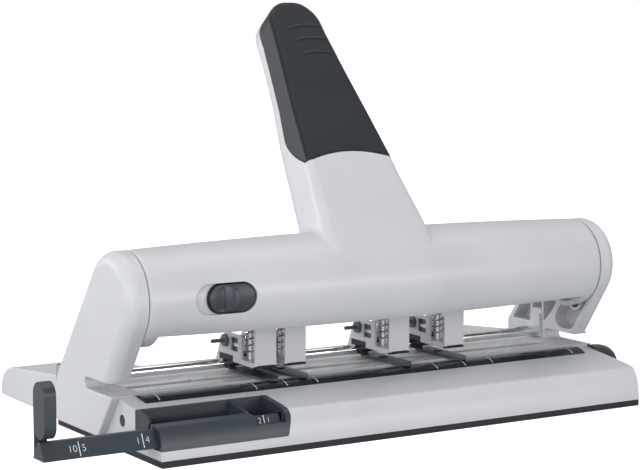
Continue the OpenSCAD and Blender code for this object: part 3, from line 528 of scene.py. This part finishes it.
def recess_rings(x, a):
    """Rings from the gap's square rim to the obround recess, over its lip and across its floor."""
    xs = x[(x > HOLE_X[0] - 0.01) & (x < HOLE_X[1] + 0.01)]
    turns = np.radians(180 - a[np.abs(a - 180) < HOLE_A + 0.01])
    sides = (xs, turns[0]), (xs[-1], turns), (xs[::-1], turns[-1]), (xs[0], turns[::-1])
    rim = np.concatenate([np.stack(np.broadcast_arrays(*side), -1)[:-1] for side in sides])
    flat = np.stack([rim[:, 0], barrel_radius(rim[:, 0]) * np.sin(rim[:, 1])], -1)
    spine = np.stack([np.clip(flat[:, 0], *PILL_X), np.zeros(len(flat))], -1)
    way = flat - spine
    way /= np.linalg.norm(way, axis=1)[:, None]
    edge = spine + RECESS_R * way
    depth_full = barrel_radius(edge[:, 0]) - FLOOR
    none = 0 * depth_full
    rows = [(flat + (edge + LIP * way - flat) * t, none) for t in (0, 0.3, 0.6, 0.85, 1)]
    rows += [(edge + (LIP - LIP * np.sin(t)) * way, none + LIP * (1 - np.cos(t)))
             for t in np.radians([25, 50, 75, 90])]
    rows += [(edge, depth_full * 0.6), (edge, depth_full - FILLET),
             (edge - FILLET * way, depth_full)]
    rows += [(edge - d * way, depth_full) for d in (2, 4, 6, 7.5, 8.1)]
    place = np.stack([p for p, _ in rows])
    sunk = np.stack([d for _, d in rows])
    radius = barrel_radius(np.where(sunk >= depth_full - 1e-6, edge[:, 0], place[..., 0])) - sunk
    high = place[..., 1]
    return np.stack([place[..., 0], AXIS_F - np.sqrt(radius ** 2 - high ** 2), AXIS_Z + high], -1)


skin, skin_x, skin_a, skin_faces = barrel_skin()
rings = recess_rings(skin_x, skin_a)
first = skin.reshape(-1, 3).shape[0]
add_piece("barrel_skin", np.concatenate([skin.reshape(-1, 3), rings.reshape(-1, 3)]),
          skin_faces + grid_faces(*rings.shape[:2], start=first), "housing_plastic", "lever",
          hides=["lever_barrel"], merge=True)
END_ROUND = 1.2
BORE = 6.1
for side in (-1, 1):
    xs = np.linspace(RING, BARREL - END_ROUND, 4)
    outer = [(side * v, float(barrel_radius(v))) for v in xs]
    bend = [(side * (BARREL - END_ROUND + END_ROUND * np.sin(t)),
             float(barrel_radius(BARREL)) - END_ROUND + END_ROUND * np.cos(t))
            for t in np.radians([30, 60, 90])]
    wall = [(side * BARREL, BORE), (side * (BARREL - WALL), BORE),
            (side * (BARREL - WALL), 22.5), (side * RING, 22.8)]
    ring = turned(outer + bend + wall + outer[:1], AXIS_F, AXIS_Z, 120)
    if side < 0:
        ring = ring[::-1]
    add_piece("barrel_end_" + ("left" if side < 0 else "right"), ring, loft(ring, ends=False),
              "housing_plastic", "lever")
print("barrel points:", skin.shape)

# %% [markdown]
# ## Lock slider
# The slider is a dark shell on a black base, and so shows a black line all round. Its face is a
# height map over the obround outline: a scoop for the thumb, then a half-moon ridge that rises
# away from it and ends in a round edge.

# %% Lock slider
SLIDER_X = (-113.4, -85.0)
SLIDER_R = 7.85


def obround(inset, radius0, height):
    """Closed sections along X of an obround pad between a radius and a height map above it."""
    r = SLIDER_R - inset
    c0, c1 = SLIDER_X[0] + SLIDER_R, SLIDER_X[1] - SLIDER_R
    bend = np.sin(np.linspace(0, pi / 2, 18))
    x = np.concatenate([c0 - r * bend[::-1], np.linspace(c0, c1, 44)[1:-1], c1 + r * bend])
    x[0], x[-1] = x[0] + 0.02, x[-1] - 0.02
    over = np.where(x < c0, c0 - x, np.where(x > c1, x - c1, 0))
    half = np.sqrt(r ** 2 - over ** 2)[:, None]
    v = np.sin(np.linspace(-pi / 2, pi / 2, 61))[None, :]
    y = half * v
    edge = r - np.hypot(over[:, None], y)
    soft = np.clip(1 - edge / 0.5, 0, 1)
    top = height(np.broadcast_to(x[:, None], y.shape), y) - 0.5 * (1 - np.sqrt(1 - soft ** 2))
    ys = np.concatenate([y, y[:, ::-1]], 1)
    rs = np.concatenate([top, np.full(y.shape, radius0)], 1)
    xs = np.broadcast_to(x[:, None], ys.shape)
    return np.stack([xs, AXIS_F - np.sqrt(rs ** 2 - ys ** 2), AXIS_Z + ys], -1)


def smooth_step(t):
    """Rises softly from 0 to 1."""
    t = np.clip(t, 0, 1)
    return t * t * (3 - 2 * t)


def slider_height(x, y):
    """The face, with its scoop and its half-moon ridge."""
    mid = sum(SLIDER_X) / 2
    to_rim = 7.4 - np.hypot(x - (mid - 3.2), y)
    climb = np.clip((x - mid + 4.4) / 6.5, 0, 1)
    moon = (1 - (1 - climb) ** 2) * smooth_step(to_rim / 1.1)
    scoop = smooth_step((x - mid + 11) / 6.5) * (x < mid - 4.4) * smooth_step((7 - np.abs(y)) / 2)
    return 26.9 + 3.1 * moon - 0.6 * scoop


for name, pad, material in (
        ("slider_base", obround(0, 24.4, lambda x, y: 26.3 + 0 * x), "black_plastic"),
        ("slider_face", obround(0.6, 25.0, slider_height), "tray_plastic")):
    add_piece(name, pad, loft(pad), material, body_with["lock_slider"], hides=["lock_slider"],
              smooth=40)

# %% [markdown]
# ## Handle
# The handle is a tapering bar that leans back. Each cross-section is a rectangle with round
# corners. Towards the root the bar gets thicker. Close to the barrel the sections swell into a
# small fillet, and their lower ends follow the barrel's round, so the two read as one moulding.
# At the tip the width follows a circle.

# %% Handle
LEAN = radians(37.6)
FLARE = (5.5, 8.0)  # how far the root spreads, and over what height
REACH = 173.0
TIP = 17.2
FACE = -26.75
THICK = 23.5
# half the width at heights above the axis
half_at = np.array([[0, 35.5], [10.4, 34.6], [17.3, 33.9], [34.6, 31.7], [50.2, 29.5],
                    [64, 28], [98.1, 24.1], [124.6, 20.6], [150, 17.6], [157.2, 17.2]])


def half_width(s):
    """Half the handle's width at a height: measured tapers, then the tip's circle."""
    s = np.asarray(s, float)
    w = np.interp(s, half_at[:, 0], half_at[:, 1])
    kernel = [np.interp(s + d, half_at[:, 0], half_at[:, 1]) for d in (-8, -4, 0, 4, 8)]
    w = np.where(s < 146, np.mean(kernel, 0), w)
    tip = np.sqrt(np.maximum(TIP ** 2 - np.maximum(s - (REACH - TIP), 0) ** 2, 0))
    return np.where(s > REACH - TIP, tip, w)


def face_y(s):
    """The front face comes forward a little towards the root."""
    return FACE - np.interp(s, [60, 105], [1.3, 0])


def back_y(s):
    """The back goes further back towards the root, so the handle gets thicker."""
    return FACE + THICK + np.interp(s, [48, 60, 85, 112], [5.5, 4.6, 3.4, 0])


def corner_at(s):
    """Radius of the long edges, larger towards the root."""
    return np.interp(s, [45, 62, 105], [4.8, 3.6, 2.6])


def lean_back(x, y, s):
    """From the upright handle, (across, through, along), to its place behind the lever axis."""
    return np.stack([x, AXIS_F + y * np.cos(LEAN) + s * np.sin(LEAN),
                     AXIS_Z - y * np.sin(LEAN) + s * np.cos(LEAN)], -1)


def tip_pinch(s):
    """How far front and back draw together over the last 3 mm of the tip."""
    ease = np.maximum(s - (REACH - 3), 0)
    return 3 - np.sqrt(np.maximum(3 ** 2 - ease ** 2, 0))


def barrel_top(y):
    """Height above the axis of a round just inside the barrel, at a distance through it."""
    return np.sqrt(np.maximum(ROOT_R ** 2 - np.clip(y, -ROOT_R, ROOT_R) ** 2, 0))


def bar_section(w, y0, y1, corner, n=7, m=6):
    """Points round a rectangle with round corners; w and corner may be arrays over the rows."""
    w, corner = np.broadcast_arrays(np.asarray(w, float), np.asarray(corner, float))
    c = np.minimum(corner, w * 0.999)[:, None]
    mid, half = (y0 + y1) / 2, (y1 - y0) / 2
    mid, half = (np.broadcast_to(v, w.shape)[:, None] for v in (mid, half))
    w = w[:, None]
    xs, ys = [], []
    for k, (sx, sy) in enumerate([(1, -1), (1, 1), (-1, 1), (-1, -1)]):
        t = np.radians(np.linspace(-90, 0, n) + 90 * k)[None, :]
        f = np.linspace(0, 1, m + 2)[None, 1:-1]
        xs.append(sx * (w - c) + c * np.cos(t))
        ys.append(mid + sy * (half - c) + c * np.sin(t))
        if k in (0, 2):
            xs.append(np.broadcast_to(sx * w, (w.shape[0], m)))
            ys.append(mid - (-1 if k else 1) * (half - c) * (1 - 2 * f))
        else:
            xs.append((w - c) * (1 - 2 * f) * (1 if k == 1 else -1))
            ys.append(np.broadcast_to(mid + sy * half, (w.shape[0], m)))
    return np.concatenate(xs, 1), np.concatenate(ys, 1)


ROOT_TOP = 48.0
ROOT_R = 26.4
root_share = np.array([0, 0.01, 0.025, 0.045, 0.07, 0.1, 0.135, 0.175, 0.22, 0.28, 0.36, 0.46,
                       0.58, 0.72, 0.86])


def handle_points(inset):
    """Sections of the handle; the lowest rows are drawn down onto the barrel and flared."""
    tip = REACH - TIP + TIP * np.sin(np.linspace(0, pi / 2, 20))
    rows = np.concatenate([np.linspace(ROOT_TOP, REACH - TIP, 36), tip[1:]])
    share = np.concatenate([root_share, np.ones(len(rows))])[:, None]
    along = np.concatenate([np.full(len(root_share), ROOT_TOP), rows])
    pinch = tip_pinch(along)
    w = np.maximum(half_width(along) - inset, 0.05)
    x, y = bar_section(w, face_y(along) + inset + pinch, back_y(along) - inset - pinch,
                       corner_at(along))
    # near the barrel every point moves outward along the section's normal, but not forward
    behind = np.clip((y - FACE - THICK / 2) / (THICK / 2), 0, 1)
    way = np.stack([np.clip(x / w[:, None], -1, 1) ** 15, behind ** 9], -1)
    rise = np.clip((ROOT_TOP - barrel_top(y)) * share / FLARE[1], 0, 1)
    swell = np.where(share < 1, FLARE[0] * (1 - np.sqrt(1 - (1 - rise) ** 2)), 0)
    x, y = x + swell * way[..., 0], y + swell * way[..., 1]
    foot = barrel_top(y)
    s = np.where(share < 1, foot + (ROOT_TOP - foot) * share, along[:, None])
    x = np.where(share < 1, x * half_width(s) / half_width(ROOT_TOP), x)
    return lean_back(x, y, s)


shape = handle_points(0.14)
add_piece("handle", shape, loft(shape), "housing_plastic", "lever", smooth=50)

# %% [markdown]
# ## Grip pad
# A soft pad wraps the handle's front and sides. It is one sheet over the same sections, kept only
# in front, and its lower edge is a low arch across the face that runs down into a round lobe on
# either side.

# %% Grip pad
SIDE = 0.35  # share of the sheet's width that lies on each side of the handle
EDGE = 62.4  # height of the pad's lower edge at the handle's long edges


def grip_points():
    """Front part of the handle's sections, from the lower edge to the tip, as a sheet."""
    u = np.concatenate([np.linspace(0, 0.55, 40), np.linspace(0.55, 0.88, 91)[1:],
                        0.88 + 0.12 * np.sin(np.linspace(0, pi / 2, 20)[1:])])
    v = np.concatenate([np.linspace(0, SIDE, 36), np.linspace(SIDE, 1 - SIDE, 50)[1:-1],
                        np.linspace(1 - SIDE, 1, 36)])
    side = np.clip(np.minimum(v, 1 - v) / SIDE, 0, 1)
    # down each side the lower edge follows the lobe; across the face it is an arch
    back = 20 * (1 - np.clip(side / 0.62, 0, 1))
    lobe = EDGE + 0.8 * back + 8.2 * (1 - np.sqrt(1 - (back / 20) ** 2))
    over_face = np.clip((v - 0.5) / (0.5 - SIDE), -1, 1)
    arch = EDGE + 4.3 * (1 - over_face ** 2)
    low = np.where(side < 1, lobe, arch)
    s = low[None, :] + (REACH - low[None, :]) * u[:, None]
    w = np.maximum(half_width(s), 0.05)
    pinch = tip_pinch(s)
    c = np.minimum(corner_at(s), w * 0.999)
    front, depth = face_y(s), np.interp(s, [70, 105], [20, 15.5])
    # the corner takes the last third of the side's share
    t = np.clip((side - 0.62) / 0.38, 0, 1)[None, :]
    turn = t * pi / 2
    sign = np.where(v < 0.5, -1, 1)[None, :]
    flat = np.clip(np.abs(v - 0.5) / (0.5 - SIDE), 0, 1)[None, :]
    on_face = (side >= 1)[None, :]
    x = sign * np.where(on_face, (w - c) * flat, w - c + c * np.cos(turn))
    y_side = front + depth - (depth - c) * np.clip(side / 0.62, 0, 1)[None, :]
    y = np.where(on_face, front, np.where(t > 0, front + c - c * np.sin(turn), y_side))
    # three low ribs, bowed upward, where the fingers close
    rib = 0
    for k, top in enumerate((155, 146, 136)):
        bow = top - ((x - 6) / 16) ** 2 * 3
        fade = 1 + np.exp((np.abs(x - 4 - 2 * k) - 10) / 1.2)
        rib = rib + 0.3 * np.exp(-((s - bow) / 0.7) ** 2) / fade
    rib = np.where(on_face & (s > 120), rib, 0)
    return lean_back(x, y + np.where(y < FACE + 8, pinch, 0) - rib, s)


pad = grip_points()
grip = add_piece("grip_pad_skin", pad, grid_faces(*pad.shape[:2], closed=False), "grip_rubber",
                 "lever", hides=["grip_pad"], smooth=60)
wall = grip.modifiers.new("thickness", "SOLIDIFY")
wall.thickness = 1.6 * MM
wall.offset = -1

# %% [markdown]
# ## Printed marks
# The roller carries short ticks for the usual hole distances and a fine scale. The ruler has a
# tick and a plain number in centimetres for each of three stop settings. Every mark is a thin
# skin just above its surface.

# %% Roller ticks, ruler marks and deck dots
ROLLER = (45.0, 16.6, 12.06)


def roller_band(x, wide, low, high, n=9):
    """A strip on the roller between two angles, counted from straight up towards the front."""
    a = np.radians(np.linspace(low, high, n))
    f, z = ROLLER[0] - ROLLER[2] * np.sin(a), ROLLER[1] + ROLLER[2] * np.cos(a)
    return np.stack([np.stack([np.full(n, x + side * wide / 2), f, z], -1) for side in (-1, 1)])


def add_strips(name, strips, material, body):
    """Many strips of the same make as one piece."""
    points = np.concatenate([s.reshape(-1, 3) for s in strips])
    counts = np.cumsum([0] + [s.shape[0] * s.shape[1] for s in strips])
    faces = sum((grid_faces(*s.shape[:2], start=int(c), closed=False)
                 for s, c in zip(strips, counts)), [])
    return add_piece(name, points, faces, material, body)


ticks = [roller_band(x, 0.5, 0, 34) for x in (-135.5, -77.5, -58.6, -39.4, 39.4, 58.6, 77.5, 135.5)]
ticks += [roller_band(x, 0.35, -8 if k % 5 else -14, -22)
          for k, x in enumerate(np.linspace(-25, 25, 21))]
ticks += [roller_band(x, 0.5, -26, 4) for x in (-27.5, 27.5)]
add_strips("roller_marks", ticks, "print_white", "scale_roller")

SLOPE_TOP = np.array([0, 3.3 + 13 * 0.47 - 1.5, 19.0])
SLOPE_FOOT = np.array([0, 3.3, 10.0])
SLOPE_UP = (SLOPE_TOP - SLOPE_FOOT) / np.linalg.norm(SLOPE_TOP - SLOPE_FOOT)
SLOPE_OUT = np.array([0, -SLOPE_UP[2], SLOPE_UP[1]])


def on_slope(across, up):
    """Points on the ruler's sloping front face, a hair above it."""
    across, up = np.broadcast_arrays(np.asarray(across, float), np.asarray(up, float))
    foot = SLOPE_FOOT + SLOPE_OUT * 0.04
    return (foot + up[..., None] * SLOPE_UP) + across[..., None] * np.array([1, 0, 0])


def number_points(text, size):
    """Outline faces of a plain number as flat points and faces, centred on its place."""
    curve = bpy.data.curves.new("number", "FONT")
    curve.body = text
    curve.size = size
    curve.offset = -0.02 * size
    curve.align_x, curve.align_y = "CENTER", "CENTER"
    holder = bpy.data.objects.new("number", curve)
    bpy.context.scene.collection.objects.link(holder)
    seen = holder.evaluated_get(bpy.context.evaluated_depsgraph_get())
    mesh = bpy.data.meshes.new_from_object(seen)
    bpy.data.objects.remove(holder)
    points = np.array([v.co[:] for v in mesh.vertices])
    return points, [list(p.vertices) for p in mesh.polygons]


for x, left, right in ((-91.5, "2", "1"), (-161.8, "1", "4"), (-196.5, "10", "5")):
    # the mark in the tray's window stands higher and is smaller
    low, high, mid, size = (4.6, 10.4, 7.6, 4.4) if x > -100 else (1.2, 8.6, 5.0, 5.1)
    tick = on_slope(np.array([[x - 0.22, x - 0.22], [x + 0.22, x + 0.22]]), np.array([[low, high]]))
    add_strips(f"ruler_tick_{int(-x)}", [tick], "print_white", "paper_guide")
    for word, shift in ((left, -2.6 - 0.9 * (len(left) - 1)), (right, 2.6)):
        flat, faces = number_points(word, size)
        add_piece(f"ruler_number_{int(-x)}_{word}",
                  on_slope(x + shift + flat[:, 0], mid + flat[:, 1]), faces, "print_white",
                  "paper_guide")

DECK_TOP = 28.73
turn = np.linspace(0, 2 * pi, 20, endpoint=False)
dots = np.stack([np.stack([x + 0.7 * np.cos(turn), 53.6 + 0.7 * np.sin(turn),
                           np.full(20, DECK_TOP)], -1) for x in (-79, 7, 43.5)])
add_piece("deck_dots", dots, (np.arange(60).reshape(3, 20)).tolist(), "print_grey", "base")

# %% [markdown]
# ## Studio
# A white sweep of paper and large soft lamps. The floor shows the camera plain white, and keeps
# the faint shadow under the base.

# %% Floor, world and lamps
def floor_finish():
    """White paper that the camera sees a little brighter than the lamps make it."""
    m = bpy.data.materials.new("studio_floor")
    m.use_nodes = True
    t = m.node_tree
    shader = t.nodes["Principled BSDF"]
    shader.inputs["Base Color"].default_value = (0.55, 0.56, 0.56, 1)
    shader.inputs["Roughness"].default_value = 0.9
    shader.inputs["Specular IOR Level"].default_value = 0.1
    shader.inputs["Emission Color"].default_value = (1, 1, 1, 1)
    path = t.nodes.new("ShaderNodeLightPath")
    glow = t.nodes.new("ShaderNodeMath")
    glow.operation = "MULTIPLY"
    glow.inputs[1].default_value = 1.0
    t.links.new(path.outputs["Is Camera Ray"], glow.inputs[0])
    t.links.new(glow.outputs[0], shader.inputs["Emission Strength"])
    return m


floor_mesh = bpy.data.meshes.new("studio_floor")
floor_mesh.from_pydata([(-6, -6, 0), (6, -6, 0), (6, 6, 0), (-6, 6, 0)], [], [(0, 1, 2, 3)])
floor_mesh.materials.append(floor_finish())
floor = bpy.data.objects.new("studio_floor", floor_mesh)
bpy.context.scene.collection.objects.link(floor)

world = bpy.data.worlds.new("studio")
bpy.context.scene.world = world
world.use_nodes = True
tree = world.node_tree
background = tree.nodes["Background"]
background.inputs["Color"].default_value = (1, 1, 1, 1)
path = tree.nodes.new("ShaderNodeLightPath")
level = tree.nodes.new("ShaderNodeMapRange")
level.inputs["To Min"].default_value = 0.5
level.inputs["To Max"].default_value = 1.0
tree.links.new(path.outputs["Is Camera Ray"], level.inputs["Value"])
tree.links.new(level.outputs["Result"], background.inputs["Strength"])


def lamp(name, place, size, power):
    """A large soft lamp that faces the machine."""
    data = bpy.data.lights.new(name, "AREA")
    data.shape = "RECTANGLE"
    data.size, data.size_y = size
    data.energy = power
    o = bpy.data.objects.new(name, data)
    o.location = place
    o.rotation_euler = (Vector((0, 0, 0.07)) - Vector(place)).to_track_quat("-Z", "Y").to_euler()
    bpy.context.scene.collection.objects.link(o)


lamp("top_lamp", (0.1, 0.1, 1.5), (1.6, 1.2), 8)
lamp("left_lamp", (-1.8, -0.1, 0.5), (1.0, 0.9), 9.5)
lamp("rear_left_lamp", (-1.3, 1.5, 0.45), (1.2, 0.8), 9)
lamp("key_lamp", (-1.3, -1.15, 0.4), (1.2, 0.7), 10)
lamp("front_lamp", (0.5, -1.8, 0.2), (1.4, 0.4), 9)
